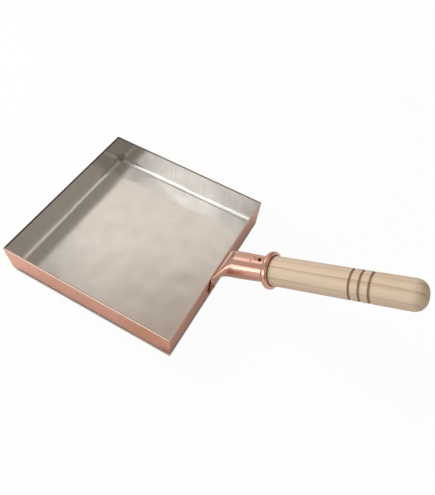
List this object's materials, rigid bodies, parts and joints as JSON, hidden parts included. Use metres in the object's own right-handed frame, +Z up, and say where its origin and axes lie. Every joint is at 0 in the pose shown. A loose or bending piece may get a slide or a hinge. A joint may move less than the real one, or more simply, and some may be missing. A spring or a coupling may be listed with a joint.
{
  "type": "tamagoyaki pan",
  "caption": "Square copper omelette pan with a tinned inside, a rolled copper socket riveted to one wall and a turned pale wood handle that rises away from the rim.",
  "frame": {"origin": "centre of the pan's underside", "axes": "+Z up, out of the pan; +X from the pan towards the wall that carries the handle, square to that wall; +Y along that wall, to the left when looking from the pan towards the handle"},
  "size_m": [0.3425, 0.18, 0.1292],
  "materials": {
    "copper": "satin",
    "tin": "wiped satin",
    "polished_copper": "polished",
    "rivet_copper": "satin",
    "pale_wood": "sanded, unvarnished",
    "nail_steel": "darkened"
  },
  "bodies": {
    "root": {"pan_body": "copper", "tin_lining": "tin", "handle_socket": "polished_copper", "rivets": "rivet_copper", "wooden_handle": "pale_wood", "handle_nail": "nail_steel"}
  },
  "joints": []
}
